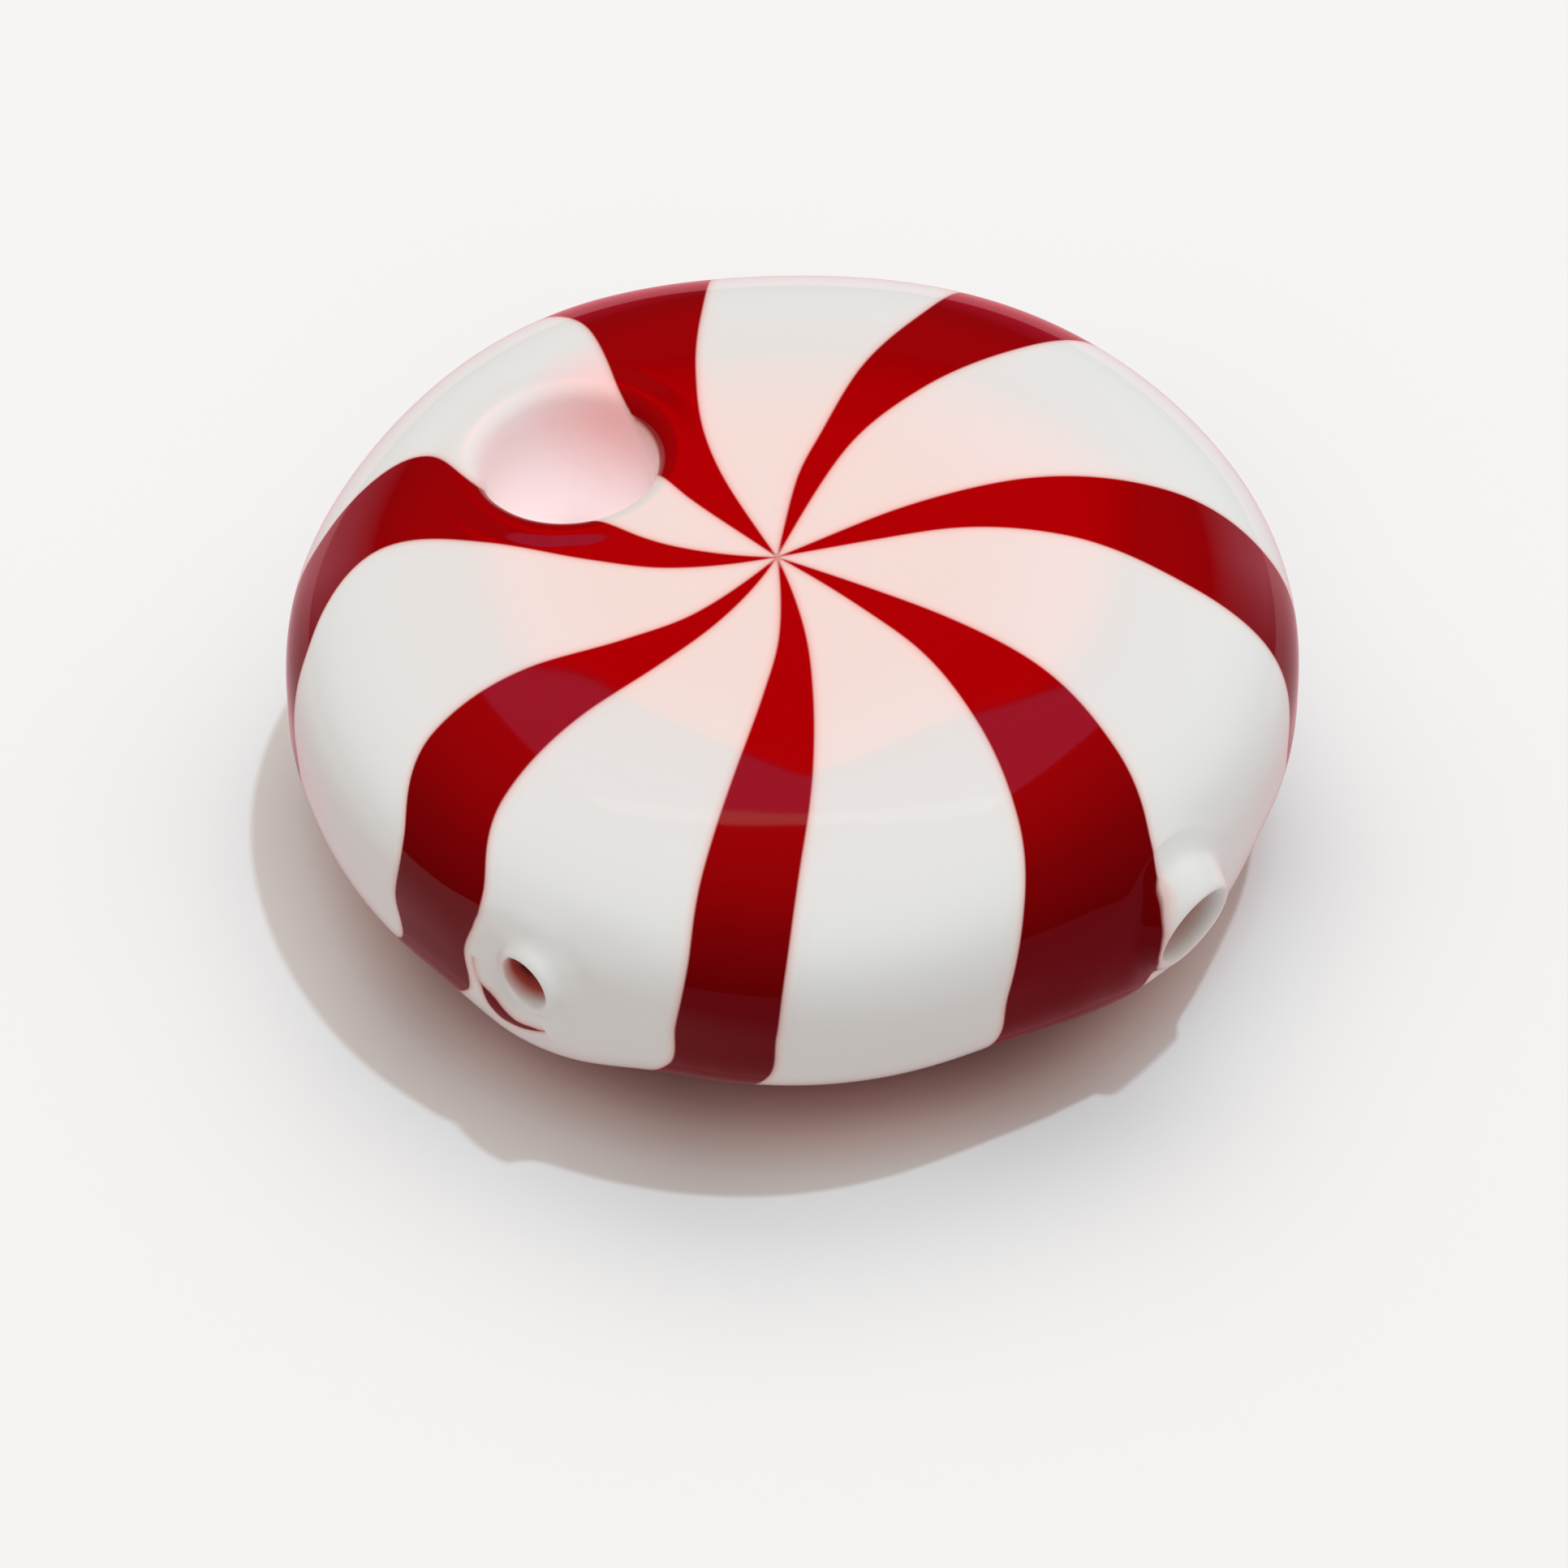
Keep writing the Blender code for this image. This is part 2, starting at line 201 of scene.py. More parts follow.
def draw_out(globe, surface, place, edge, section, lean=(0.0, 0.0), shift=(0.0, 0.0)):
    """Extrudes the hole's edge ring by ring along the section and returns the last ring's edges. A
    fourth number says what share of the lip's lean, as two slopes, and of its shift a ring takes."""
    inverse = place.inverted()
    middle = Vector((0, 0))
    for radius, height, lying, *share in section:
        share = share[0] if share else 0.0
        made = bmesh.ops.extrude_edge_only(globe, edges=edge)["geom"]
        edge = [e for e in made if isinstance(e, bmesh.types.BMEdge) and len(e.link_faces) == 1]
        for vert in {vert for e in edge for vert in e.verts}:
            local = inverse @ vert.co
            angle = atan2(local.y - middle.y, local.x - middle.x)
            across = radius * MM * Vector((cos(angle), sin(angle)))
            x, y = across + share * Vector(shift)
            start = place @ Vector((x, y, BODY_RADIUS / 2))
            lain = inverse @ surface.ray_cast(start, -place.col[2].xyz)[0]
            rise = height * MM + lying * lain.z + share * across.dot(Vector(lean))
            vert.co = place @ Vector((x, y, rise))
        middle = share * Vector(shift)
    return edge


bowl = place_on(body_surface, Vector((*BOWL_PLACE, 2 * BODY_RADIUS)), Vector((0, 0, -1)))
throat_edge = open_patch(body, body_surface, bowl, BOWL_PATCH, BOWL_SPREAD)
throat_edge = draw_out(body, body_surface, bowl, throat_edge, BOWL_SECTION)


# ---- The mouthpiece -------------------------------------------------------------------------------
# A short neck pulled out of the side, drooping a little, its lip rolled back over itself and a plain
# round bore behind it. It points where the record's mouthpiece opening does.

MOUTH_DROOP = 14.0
MOUTH_RISE = 1.0 * MM
MOUTH_PATCH = 6.6 * MM
MOUTH_SPREAD = 9.4 * MM
MOUTH_LEAN = (0.02, -0.03)
MOUTH_SHIFT = (-0.2 * MM, 1.0 * MM)
MOUTH_SECTION = (
    (7.6, 0.0, 1.0, 0.1), (6.6, 0.0, 0.97, 0.4), (5.8, 0.0, 0.85, 0.7), (5.3, 0.2, 0.6, 1.0),
    (4.95, 0.5, 0.4, 1.0), (4.6, 0.8, 0.25, 1.0), (4.25, 0.9, 0.15, 1.0), (3.95, 0.7, 0.1, 1.0),
    (3.7, 0.2, 0.05, 0.9), (3.55, -0.5, 0.0, 0.6), (3.5, -1.3, 0.0, 0.3), (3.5, -2.2, 0.0),
    (3.5, -3.2, 0.0),
)
mouth_box = openings["mouthpiece_hole"]
MOUTH_AZIMUTH = degrees(atan2((mouth_box[0][1] + mouth_box[1][1]) / 2, pipe_high.x))


def place_at_side(surface, azimuth, rise, droop=0.0):
    out = Vector((cos(radians(azimuth)), sin(radians(azimuth)), 0))
    return place_on(surface, 2 * BODY_RADIUS * out + Vector((0, 0, WIDEST_HEIGHT + rise)), -out, droop)


mouth = place_at_side(body_surface, MOUTH_AZIMUTH, MOUTH_RISE, MOUTH_DROOP)
mouth_edge = open_patch(body, body_surface, mouth, MOUTH_PATCH, MOUTH_SPREAD)
mouth_edge = draw_out(body, body_surface, mouth, mouth_edge, MOUTH_SECTION, MOUTH_LEAN, MOUTH_SHIFT)


# ---- The thumb hole -------------------------------------------------------------------------------
# A smaller nub of the same make as the mouthpiece, a quarter turn round the side and a little above
# the widest plane.

THUMB_AZIMUTH = -80.0
THUMB_RISE = 4.1 * MM
THUMB_PATCH = 5.3 * MM
THUMB_SPREAD = 7.2 * MM
THUMB_LEAN = (0.27, 0.12)
THUMB_SECTION = (
    (5.6, 0.0, 1.0, 0.0), (4.6, 0.0, 1.0, 0.2), (3.9, 0.05, 1.0, 0.5), (3.4, 0.15, 0.85, 0.9),
    (3.05, 0.3, 0.7, 1.0), (2.8, 0.35, 0.6, 1.0), (2.55, 0.2, 0.5, 1.0), (2.35, -0.2, 0.35, 1.0),
    (2.2, -0.9, 0.15, 0.6), (2.15, -2.4, 0.0),
)
thumb = place_at_side(body_surface, THUMB_AZIMUTH, THUMB_RISE)
thumb_edge = open_patch(body, body_surface, thumb, THUMB_PATCH, THUMB_SPREAD)
thumb_edge = draw_out(body, body_surface, thumb, thumb_edge, THUMB_SECTION, THUMB_LEAN)


# ---- The hollow inside ----------------------------------------------------------------------------
# The bubble of air that the body was blown round: a wall within the outside, pressed down where the
# bowl hangs into it. The throat and the two bores open into it, so the skin is one closed surface.

WALL = 3.5 * MM
HOLLOW_GRID = 12
hollow = blown_globe(WALL, HOLLOW_GRID)
hollow_surface = BVHTree.FromBMesh(hollow)
HOLLOW_SIDES = (
    (bowl, 9.0 * MM, 13.2 * MM, (
        (11.8, -0.1, 1.0), (11.5, -1.4, 0.5), (11.2, -3.5, 0.0), (10.2, -6.5, 0.0),
        (7.6, -9.1, 0.0), (4.6, -10.3, 0.0), (2.6, -10.7, 0.0), (2.0, -10.3, 0.0),
    ), throat_edge),
    (mouth, 4.5 * MM, 6.2 * MM, ((4.6, 0.0, 1.0), (3.7, 0.4, 1.0)), mouth_edge),
    (thumb, 3.5 * MM, 4.6 * MM, ((3.5, 0.0, 1.0), (2.6, 0.4, 1.0)), thumb_edge),
)
hollow_edges = []
for place, half_side, spread, section, outer_edge in HOLLOW_SIDES:
    inner_place = place.copy()
    inner_place.translation = lying_point(hollow_surface, place, 0, 0)
    inner_edge = open_patch(hollow, hollow_surface, inner_place, half_side, spread, rounds=4)
    inner_edge = draw_out(hollow, hollow_surface, inner_place, inner_edge, section)
    hollow_edges.append([[v.co.copy() for v in e.verts] for e in inner_edge])
bmesh.ops.reverse_faces(hollow, faces=hollow.faces[:])
hollow_mesh = bpy.data.meshes.new("hollow_inside")
hollow.to_mesh(hollow_mesh)
hollow.free()
body.from_mesh(hollow_mesh)
bpy.data.meshes.remove(hollow_mesh)

open_edges = [e for e in body.edges if len(e.link_faces) == 1]
for (place, half_side, spread, section, outer_edge), inner_marks in zip(HOLLOW_SIDES, hollow_edges):
    marks = {tuple(round(c, 7) for c in co) for ends in inner_marks for co in ends}
    inner_edge = [
        e for e in open_edges if all(tuple(round(c, 7) for c in v.co) in marks for v in e.verts)
    ]
    bmesh.ops.bridge_loops(body, edges=outer_edge + inner_edge)
bmesh.ops.recalc_face_normals(body, faces=body.faces[:])


# ---- The skin -------------------------------------------------------------------------------------
# The fire-polished surface of the finished glass. The worked form is let out until its smoothed
# skin passes through it, and the faces are made smaller round the thumb hole and on the crown, where
# the stripes run together.

SKIN_LEVELS = 2
pipe_mesh = bpy.data.meshes.new("blown_glass_pipe")
body.to_mesh(pipe_mesh)
body.free()
pipe = bpy.data.objects.new("blown_glass_pipe", pipe_mesh)
bpy.context.scene.collection.objects.link(pipe)
smoothing = pipe.modifiers.new("smoothing", "SUBSURF")
smoothing.levels = SKIN_LEVELS
smoothing.render_levels = SKIN_LEVELS
wanted = [vert.co.copy() for vert in pipe_mesh.vertices]
for _ in range(3):
    pipe_mesh.update()
    depsgraph = bpy.context.evaluated_depsgraph_get()
    skin = pipe.evaluated_get(depsgraph).data
    misses = [want - skin.vertices[i].co for i, want in enumerate(wanted)]
    for vert, miss in zip(pipe_mesh.vertices, misses):
        vert.co += 0.8 * miss
pipe_mesh.update()
depsgraph = bpy.context.evaluated_depsgraph_get()
skin = bmesh.new()
skin.from_mesh(pipe.evaluated_get(depsgraph).data)
pipe.modifiers.remove(smoothing)

SWIRL_CENTRE = (-0.96 * MM, -0.8 * MM)
crown = Vector((*SWIRL_CENTRE, pipe_high.z))
for middle, fine_radius in ((crown, 19.0 * MM), (crown, 8.5 * MM), (thumb.translation, 7.6 * MM)):
    fine = {
        e for face in skin.faces for e in face.edges
        if (face.calc_center_median() - middle).length < fine_radius
        and (face.calc_center_median() - bowl.translation).length > 0.8 * BOWL_SPREAD
    }
    bmesh.ops.subdivide_edges(skin, edges=list(fine), cuts=1, use_grid_fill=True)
for vert in skin.verts:
    vert.co.z = max(vert.co.z, 0.0)
skin.to_mesh(pipe_mesh)
skin.free()
pipe_mesh.shade_smooth()


# ---- The stripes ----------------------------------------------------------------------------------
# Seven ribbons of red glass melted flush into the white, running from a point on the crown, over the
# rim and round underneath. Their edges are given by azimuth at a row of latitudes, which run from 0
# at the swirl's centre through 90 at the widest plane to 180 underneath.

LATITUDES = (0, 12, 20, 30, 42, 56, 75, 95, 180)
STRIPES = (
    ((3, 0, -2, -8, -15, -21, -24, -25, -34), (16, 15, 14, 11, 4, -2, -4, -5, -18)),
    ((54, 54, 53, 47, 37, 31, 27, 26, 18), (70, 70, 68, 64, 56, 46, 40, 38, 33)),
    ((108, 107, 105, 99, 92, 88, 84, 82, 70), (121, 120, 116, 113, 108, 106, 103, 102, 85)),
    ((157, 156, 153, 147, 141, 138, 136, 135, 121), (177, 177, 174, 164, 159, 161, 158, 156, 137)),
    ((219, 211, 204, 203, 195, 211, 219, 219, 173), (235, 228, 221, 215, 215, 229, 234, 235, 188)),
    ((269, 264, 257, 251, 253, 261, 262, 262, 225), (285, 277, 272, 268, 269, 274, 273, 273, 240)),
    ((316, 311, 306, 302, 300, 300, 299, 298, 276), (330, 325, 321, 317, 313, 311, 310, 309, 292)),
)
# White collars round the three openings: azimuths about the opening's own axis in degrees, and the
# collar's radius there in millimetres.
COLLARS = (
    (
        mouth, (-125, -90, 90, 108, 121, 132, 144, 162, 186),
        (4.6, 5.6, 6.6, 6.75, 6.3, 5.9, 5.4, 4.9, 4.5),
    ),
    (thumb, (-138, -135, 90, 137, 161, 213, 217), (9.5, 9.5, 7.6, 7.1, 6.2, 6.1, 6.4)),
    (bowl, (0, 180), (8.1, 8.1)),
)
# A thin crescent under the thumb hole's lip, between two radii, is also given the stripes' red.
TUCK_AZIMUTHS = (-152, -146, -138, -128, -114, -98, -80, -60)
TUCK_INNER = (5.6, 5.3, 4.95, 4.75, 4.8, 4.9, 4.75, 5.05)
TUCK_OUTER = (5.5, 5.45, 5.65, 5.95, 6.1, 5.65, 5.2, 5.0)
# How far round an opening, and how far behind it, its collar or crescent reaches at the most.
TRIM_REACH = 12.0
TRIM_DEPTH = BODY_RADIUS / 4


def between(values, latitude):
    """The edge's azimuth at a latitude, on a smooth curve through the given ones."""
    after = min(max(bisect_left(LATITUDES, latitude), 1), len(LATITUDES) - 1)
    low, high = LATITUDES[after - 1], LATITUDES[after]
    t = (latitude - low) / (high - low)
    before, past = max(after - 2, 0), min(after + 1, len(LATITUDES) - 1)
    step = high - low
    lead_in = (values[after] - values[before]) / (LATITUDES[after] - LATITUDES[before]) * step
    lead_out = (values[past] - values[after - 1]) / (LATITUDES[past] - LATITUDES[after - 1]) * step
    return (
        (2 * t**3 - 3 * t**2 + 1) * values[after - 1] + (t**3 - 2 * t**2 + t) * lead_in
        + (3 * t**2 - 2 * t**3) * values[after] + (t**3 - t**2) * lead_out
    )


def round_opening(place, point):
    """A point's azimuth in degrees and radius in millimetres about an opening's axis, if it is near."""
    local = place.inverted() @ point
    radius = hypot(local.x, local.y) / MM
    if local.z < -TRIM_DEPTH or radius > TRIM_REACH:
        return None
    return degrees(atan2(local.y, local.x)), radius


def depth_in_stripe(point):
    """How far a point lies inside the nearest stripe, in metres, and below 0 outside it."""
    x, y = point.x - SWIRL_CENTRE[0], point.y - SWIRL_CENTRE[1]
    height = (point.z - WIDEST_HEIGHT) / (CROWN_HEIGHT if point.z > WIDEST_HEIGHT else BELLY_DEPTH)
    latitude = degrees(atan2(hypot(x, y) / BODY_RADIUS, height))
    azimuth = degrees(atan2(y, x))
    depths = []
    for first, last in STRIPES:
        low, high = between(first, latitude), between(last, latitude)
        middle, half = (low + high) / 2, (high - low) / 2
        depths.append(half - abs((azimuth - middle + 180) % 360 - 180))
    depth = radians(max(depths)) * hypot(x, y)
    for place, azimuths, radii in COLLARS:
        near = round_opening(place, point)
        if near:
            depth = min(depth, (near[1] - interp(near[0], azimuths, radii, period=360)) * MM)
    near = round_opening(thumb, point)
    if near and near[0] < TUCK_AZIMUTHS[-1]:
        inner = near[1] - interp(near[0], TUCK_AZIMUTHS, TUCK_INNER)
        outer = interp(near[0], TUCK_AZIMUTHS, TUCK_OUTER) - near[1]
        depth = max(depth, min(inner, outer) * MM)
    return depth


stripe_depth = pipe_mesh.attributes.new("stripe_depth", "FLOAT", "POINT")
stripe_depth.data.foreach_set("value", [depth_in_stripe(vert.co) for vert in pipe_mesh.vertices])


# ---- The finish -----------------------------------------------------------------------------------
# Fire-polished glass: opaque white and red, with light and shade painted into both. The white is
# painted pinker on the crown, where the ribbons run close, as a glow of light through the red, and
# darker and redder towards the foot, as shade under the body. The red is painted darker down the
# sides, as shade where the light falls off, and brighter at the shoulder away from the lamp. A thin
# pink line runs where the two melted together, with a faint painted glow beside it, and painted glows
# of light through the red tint the bowl, a patch beside it and the inside of the two side openings.

# Painted glow in the dish: light shining through the glass, given as a brighter pink white.
PAINTED_BOWL_GLOW = (0.93, 0.79, 0.80, 1)
# Painted glow of light through a red stripe, on a patch in and beside the bowl, and the patch's middle.
PAINTED_RED_GLOW = (1.0, 0.50, 0.50, 1)
RED_GLOW_PLACE = (-25.5 * MM, 6.0 * MM, 29.0 * MM)
# Painted glow of light through the red, inside the mouthpiece's bore.
MOUTH_PAINTED_GLOW = (0.88, 0.55, 0.50, 1)
# Painted glow of light through the red, inside the thumb hole.
THUMB_PAINTED_GLOW = (0.62, 0.12, 0.09, 1)
# The pink of the line where red and white melted together, and of a faint painted glow beside it.
EDGE_PINK_AND_GLOW = (0.78, 0.42, 0.38, 1)
# The side away from the lamp, where light that has passed through the red gathers at the shoulder.
GLOW_AZIMUTH = radians(130)
BEHIND_LIP = Vector((0, 0, -4.5 * MM))

glass = bpy.data.materials.new("striped_glass_finish")
glass.use_nodes = True
nodes, links = glass.node_tree.nodes, glass.node_tree.links
shader = nodes["Principled BSDF"]
shader.inputs["Roughness"].default_value = 0.05
shader.inputs["IOR"].default_value = 1.5
shader.inputs["Specular IOR Level"].default_value = 0.25


def ramp(fac, stops):
    """A colour ramp over a socket, from (position, colour) stops."""
    made = fac.id_data.nodes.new("ShaderNodeValToRGB")
    first, last = made.color_ramp.elements[0], made.color_ramp.elements[1]
    first.position, last.position = stops[0][0], stops[-1][0]
    first.color, last.color = (*stops[0][1], 1), (*stops[-1][1], 1)
    for position, colour in stops[1:-1]:
        made.color_ramp.elements.new(position).color = (*colour, 1)
    fac.id_data.links.new(fac, made.inputs["Fac"])
    return made.outputs["Color"]


def scaled(value, low, high):
    """A socket's value as a share of the way from low to high."""
    made = value.id_data.nodes.new("ShaderNodeMapRange")
    made.inputs["From Min"].default_value = low
    made.inputs["From Max"].default_value = high
    value.id_data.links.new(value, made.inputs["Value"])
    return made.outputs["Result"]


def blended(fac, first, second, kind="MIX"):
    """Two colours mixed by a share; each may be a socket or a plain value."""
    made = nodes.new("ShaderNodeMix")
    made.data_type = "RGBA"
    made.blend_type = kind
    for value, socket in ((fac, "Factor"), (first, "A"), (second, "B")):
        if isinstance(value, bpy.types.NodeSocket):
            links.new(value, made.inputs[socket])
        else:
            made.inputs[socket].default_value = value
    return made.outputs["Result"]


def distance_from(point, flat=False):
    """How far the surface is from a point of the pipe, or from an upright line through it."""
    shift = nodes.new("ShaderNodeVectorMath")
    shift.operation = "SUBTRACT"
    shift.inputs[1].default_value = point
    links.new(place_node.outputs["Object"], shift.inputs[0])
    size = nodes.new("ShaderNodeVectorMath")
    size.operation = "LENGTH"
    if flat:
        flatten = nodes.new("ShaderNodeVectorMath")
        flatten.operation = "MULTIPLY"
        flatten.inputs[1].default_value = (1, 1, 0)
        links.new(shift.outputs["Vector"], flatten.inputs[0])
        links.new(flatten.outputs["Vector"], size.inputs[0])
    else:
        links.new(shift.outputs["Vector"], size.inputs[0])
    return size.outputs["Value"]


place_node = nodes.new("ShaderNodeTexCoord")
height_node = nodes.new("ShaderNodeSeparateXYZ")
links.new(place_node.outputs["Object"], height_node.inputs["Vector"])
height = height_node.outputs["Z"]

# The white is painted pinker near the swirl's centre, where the ribbons run close: a painted warm glow
# of light through the red.
from_swirl = scaled(distance_from((*SWIRL_CENTRE, 0), flat=True), 0, BODY_RADIUS)
white = ramp(from_swirl, (
    (0.0, (0.72, 0.66, 0.625)), (0.35, (0.72, 0.66, 0.625)), (0.7, (0.725, 0.705, 0.695)),
    (0.9, (0.735, 0.75, 0.745)), (1.0, (0.74, 0.76, 0.755)),
))
# The white is also painted darker and redder towards the foot: painted shade, with a red cast, under the
# body.
white = blended(1.0, white, ramp(scaled(height, 0, pipe_high.z), (
    (0.0, (0.28, 0.05, 0.05)), (0.18, (0.60, 0.25, 0.25)), (0.31, (1.04, 0.92, 0.90)),
    (0.5, (0.99, 0.97, 0.96)), (0.85, (1, 0.99, 0.985)), (1.0, (0.995, 0.995, 0.995)),
)), "MULTIPLY")
# The dish is painted a brighter pink white: a painted glow of light shining through the glass.
in_dish = scaled(distance_from(bowl.translation - Vector((0, 0, 3 * MM))), 9.8 * MM, 7.8 * MM)
white = blended(in_dish, white, PAINTED_BOWL_GLOW)
# A patch in and beside the bowl, next to a red stripe, is painted pink: a painted glow of light through
# that red.
white = blended(scaled(distance_from(RED_GLOW_PLACE), 9.0 * MM, -2.0 * MM), white, PAINTED_RED_GLOW)
# Inside the mouthpiece, behind its lip, the white is painted pink: a painted glow of light through the
# red.
white = blended(scaled(distance_from(mouth @ BEHIND_LIP), 5.6 * MM, 4.4 * MM), white, MOUTH_PAINTED_GLOW)
# Inside the thumb hole the white is painted deep red: a painted glow of light through the red.
white = blended(scaled(distance_from(thumb @ BEHIND_LIP), 5.1 * MM, 3.8 * MM), white, THUMB_PAINTED_GLOW)
# The red is painted darker down the sides, painted shade where the light falls off, with a lighter band
# low down and the darkest red at the foot, painted shade under the body.
red = ramp(scaled(height, 0, pipe_high.z), (
    (0.0, (0.09, 0.0, 0.001)), (0.2, (0.20, 0.0, 0.001)), (0.5, (0.125, 0.0, 0.001)),
    (0.75, (0.13, 0.0, 0.001)), (0.88, (0.18, 0.0, 0.001)), (0.96, (0.285, 0.0, 0.001)),
    (1.0, (0.285, 0.0, 0.001)),
))
towards_glow = nodes.new("ShaderNodeVectorMath")
towards_glow.operation = "DOT_PRODUCT"
towards_glow.inputs[1].default_value = (cos(GLOW_AZIMUTH), sin(GLOW_AZIMUTH), 0)
links.new(place_node.outputs["Object"], towards_glow.inputs[0])
rim_red = ramp(scaled(towards_glow.outputs["Value"], -14 * MM, 43 * MM), (
    (0.0, (0.15, 0.0, 0.001)), (0.3, (0.30, 0.045, 0.06)), (0.75, (0.36, 0.01, 0.03)),
    (1.0, (0.60, 0.005, 0.035)),
))
rim_red = blended(scaled(distance_from((0, 0, 0), flat=True), 37 * MM, 42 * MM), red, rim_red)
rim_red = blended(scaled(height, WIDEST_HEIGHT, WIDEST_HEIGHT + 10 * MM), red, rim_red)
red = blended(scaled(towards_glow.outputs["Value"], -14 * MM, 2 * MM), red, rim_red)
depth_node = nodes.new("ShaderNodeAttribute")
depth_node.attribute_name = "stripe_depth"
in_white = ramp(scaled(depth_node.outputs["Fac"], -0.4 * MM, 0.4 * MM), (
    (0.0, (0, 0, 0)), (0.35, (0.12, 0.12, 0.12)), (0.5, (0.6, 0.6, 0.6)), (0.62, (1, 1, 1)),
    (1.0, (1, 1, 1)),
))
# Along each stripe the white turns pink: a thin line where the glasses melted together, then a faint
# painted glow of red light spreading about 2 mm into the white.
fringe = ramp(scaled(depth_node.outputs["Fac"], -2.0 * MM, 0.1 * MM), (
    (0.0, (0, 0, 0)), (0.6, (0.06, 0.06, 0.06)), (0.93, (0.6, 0.6, 0.6)), (1.0, (1, 1, 1)),
))
white = blended(fringe, white, EDGE_PINK_AND_GLOW)
colour = blended(in_white, white, red)
links.new(colour, shader.inputs["Base Color"])
pipe_mesh.materials.append(glass)
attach(pipe, "root")
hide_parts("glass_pipe")


# ---- The studio -----------------------------------------------------------------------------------
# A wide pale table of plain paper under an even sky that is darker low down. Close round the glass
# the paper is painted darker and redder, a painted shadow that takes up the glass's red. The glass
# mirrors it painted darker and redder still towards the front right, a painted reflection of shade,
# and three light cards that show nowhere else.

CAMERA_AZIMUTH = radians(40)
AHEAD = Vector((-sin(CAMERA_AZIMUTH), cos(CAMERA_AZIMUTH), 0))
RIGHT = Vector((cos(CAMERA_AZIMUTH), sin(CAMERA_AZIMUTH), 0))
UP = Vector((0, 0, 1))

table = bmesh.new()
bmesh.ops.create_grid(table, x_segments=1, y_segments=1, size=6.0)
table_mesh = bpy.data.meshes.new("studio_table")
table.to_mesh(table_mesh)
table.free()
table_object = bpy.data.objects.new("studio_table", table_mesh)
bpy.context.scene.collection.objects.link(table_object)
paper = bpy.data.materials.new("pale_paper")
paper.use_nodes = True
paper_nodes, paper_links = paper.node_tree.nodes, paper.node_tree.links
paper_shader = paper_nodes["Principled BSDF"]
paper_shader.inputs["Roughness"].default_value = 0.9
paper_shader.inputs["Specular IOR Level"].default_value = 0.0
paper_place = paper_nodes.new("ShaderNodeTexCoord")
# Close round the glass the paper is painted darker and redder: a painted contact shadow, reddened by the
# glass.
from_foot = paper_nodes.new("ShaderNodeVectorMath")
from_foot.operation = "LENGTH"
paper_links.new(paper_place.outputs["Object"], from_foot.inputs[0])
paper_links.new(ramp(scaled(from_foot.outputs["Value"], 34 * MM, 45 * MM), (
    (0.0, (0.54, 0.31, 0.31)), (0.3, (0.65, 0.46, 0.44)), (0.6, (0.78, 0.66, 0.63)),
    (1.0, (0.8, 0.8, 0.8)),
)), paper_shader.inputs["Base Color"])
# What the glass mirrors of the paper is painted darker and redder towards the front right: a painted
# reflection of shade, seen only in reflections.
paper_depth = paper_nodes.new("ShaderNodeVectorMath")
paper_depth.operation = "DOT_PRODUCT"
paper_depth.inputs[1].default_value = AHEAD - 0.5 * RIGHT
paper_links.new(paper_place.outputs["Object"], paper_depth.inputs[0])
mirrored = paper_nodes.new("ShaderNodeBsdfDiffuse")
mirrored_colour = ramp(scaled(paper_depth.outputs["Value"], -100 * MM, 20 * MM), (
    (0.2, (0.55, 0.12, 0.18)), (0.55, (0.72, 0.42, 0.46)),
))
paper_links.new(mirrored_colour, mirrored.inputs["Color"])
seen = paper_nodes.new("ShaderNodeLightPath")
either = paper_nodes.new("ShaderNodeMixShader")
paper_links.new(seen.outputs["Is Glossy Ray"], either.inputs["Fac"])
paper_links.new(paper_shader.outputs["BSDF"], either.inputs[1])
paper_links.new(mirrored.outputs["BSDF"], either.inputs[2])
paper_links.new(either.outputs["Shader"], paper_nodes["Material Output"].inputs["Surface"])
table_mesh.materials.append(paper)

pipe_middle = Vector((0, 0, WIDEST_HEIGHT))


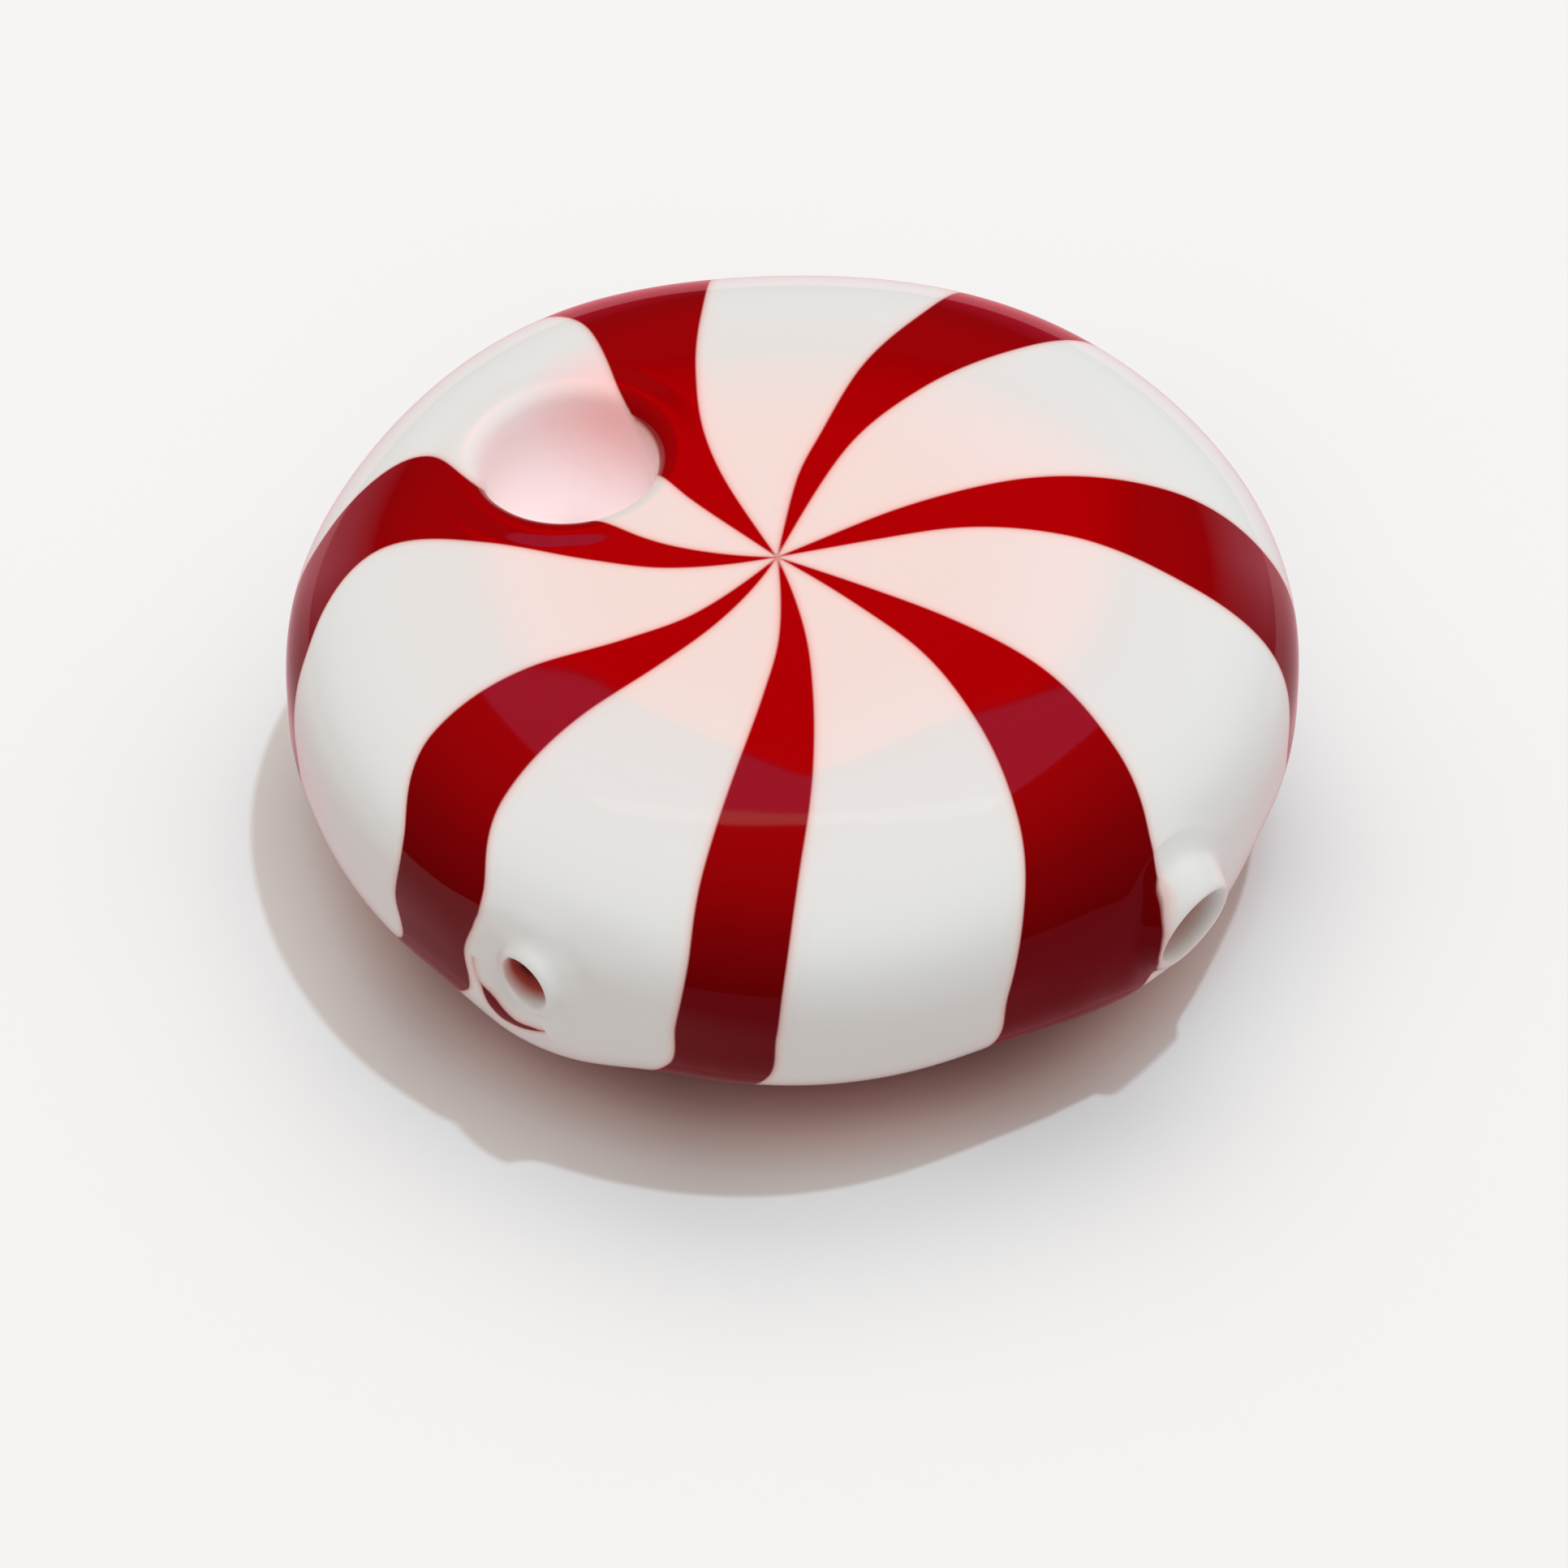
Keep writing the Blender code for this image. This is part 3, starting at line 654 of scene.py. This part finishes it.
def light_card(name, azimuths, low_edge, high_edge, colour, faded=False):
    """A card a metre away that shows only in reflections, between two edges given by elevations at
    azimuths from straight ahead. It may fade towards its sides and its foot."""
    card = bmesh.new()
    bmesh.ops.create_grid(card, x_segments=40, y_segments=20, size=1.0)
    shares = []
    for vert in card.verts:
        azimuth = azimuths[0] + (vert.co.x + 1) / 2 * (azimuths[1] - azimuths[0])
        low, high = interp(azimuth, *low_edge), interp(azimuth, *high_edge)
        shares.append(min(1.0, 3 * (1 - abs(vert.co.x)), 1.2 * (vert.co.y + 1)) if faded else 1.0)
        rise = radians(low + (vert.co.y + 1) / 2 * (high - low))
        level = AHEAD * cos(radians(azimuth)) + RIGHT * sin(radians(azimuth))
        vert.co = pipe_middle + level * cos(rise) + UP * sin(rise)
    mesh = bpy.data.meshes.new(name)
    card.to_mesh(mesh)
    card.free()
    mesh.attributes.new("brightness", "FLOAT", "POINT").data.foreach_set("value", shares)
    made = bpy.data.objects.new(name, mesh)
    bpy.context.scene.collection.objects.link(made)
    material = bpy.data.materials.new(name)
    material.use_nodes = True
    material_nodes, material_links = material.node_tree.nodes, material.node_tree.links
    material_nodes.remove(material_nodes["Principled BSDF"])
    emission = material_nodes.new("ShaderNodeEmission")
    emission.inputs["Color"].default_value = (*colour, 1)
    brightness = material_nodes.new("ShaderNodeAttribute")
    brightness.attribute_name = "brightness"
    material_links.new(brightness.outputs["Fac"], emission.inputs["Strength"])
    material_links.new(emission.outputs["Emission"], material_nodes["Material Output"].inputs["Surface"])
    mesh.materials.append(material)
    made.visible_camera = False
    made.visible_diffuse = False
    made.visible_shadow = False
    made.visible_transmission = False


WARM_EDGE = ((-18, -9, -4, 1, 4, 8, 14, 20), (50, 50.3, 53.5, 57, 55.5, 53.3, 53, 52))
SOFT_EDGE = (WARM_EDGE[0], [elevation + 0.3 for elevation in WARM_EDGE[1]])
light_card("warm_card", (-18, 20), ((0,), (33,)), WARM_EDGE, (4.3, 0.0, 0.0), faded=True)
light_card("soft_card", (-24, 32), SOFT_EDGE, ((0,), (62.6,)), (0.25, 0.35, 0.8))
light_card("line_card", (-24, 32), ((0,), (62.6,)), ((0,), (65,)), (1.2, 1.2, 1.2))

world = bpy.context.scene.world or bpy.data.worlds.new("studio")
bpy.context.scene.world = world
world.use_nodes = True
world_nodes, world_links = world.node_tree.nodes, world.node_tree.links
background = world_nodes["Background"]
sky_place = world_nodes.new("ShaderNodeTexCoord")
sky_height = world_nodes.new("ShaderNodeSeparateXYZ")
world_links.new(sky_place.outputs["Generated"], sky_height.inputs["Vector"])
sky = ramp(sky_height.outputs["Z"], ((0.0, (0.14, 0.125, 0.117)), (1.0, (1.125, 1.035, 0.975))))
world_links.new(sky, background.inputs["Color"])
dark = world_nodes.new("ShaderNodeBackground")
dark.inputs["Color"].default_value = (0.03, 0.03, 0.03, 1)
kind = world_nodes.new("ShaderNodeLightPath")
choose = world_nodes.new("ShaderNodeMixShader")
world_links.new(kind.outputs["Is Glossy Ray"], choose.inputs["Fac"])
world_links.new(background.outputs["Background"], choose.inputs[1])
world_links.new(dark.outputs["Background"], choose.inputs[2])
world_links.new(choose.outputs["Shader"], world_nodes["World Output"].inputs["Surface"])

lamp = bpy.data.lights.new("soft_lamp", "SUN")
lamp.energy = 0.98
lamp.color = (0.68, 0.875, 1.0)
lamp.angle = radians(2.0)
lamp_object = bpy.data.objects.new("soft_lamp", lamp)
bpy.context.scene.collection.objects.link(lamp_object)
towards = (0.21 * RIGHT + 0.09 * AHEAD + UP).normalized()
lamp_object.rotation_euler = towards.to_track_quat("Z", "Y").to_euler()
lamp_object.visible_glossy = False

overhead = bpy.data.lights.new("overhead_box", "AREA")
overhead.shape = "RECTANGLE"
overhead.size = 2.0
overhead.size_y = 1.4
overhead.energy = 11.4
overhead.color = (1.0, 0.93, 0.86)
overhead_object = bpy.data.objects.new("overhead_box", overhead)
bpy.context.scene.collection.objects.link(overhead_object)
towards = AHEAD * cos(radians(60)) + UP * sin(radians(60))
overhead_object.location = pipe_middle + 2.4 * towards
overhead_object.rotation_euler = towards.to_track_quat("Z", "Y").to_euler()
overhead_object.visible_glossy = False

TILT = radians(47.6)
DISTANCE = 540 * MM
target = pipe_middle - 0.64 * MM * RIGHT - 12.66 * MM * AHEAD
camera_data = bpy.data.cameras.new("studio_camera")
camera_data.lens = 140.05
camera_data.sensor_width = 36.0
camera_data.clip_start = 0.01
camera = bpy.data.objects.new("studio_camera", camera_data)
bpy.context.scene.collection.objects.link(camera)
camera.location = target + DISTANCE * (UP * sin(TILT) - AHEAD * cos(TILT))
camera.rotation_euler = (target - camera.location).to_track_quat("-Z", "Y").to_euler()
bpy.context.scene.camera = camera
bpy.context.scene.view_settings.view_transform = "Standard"
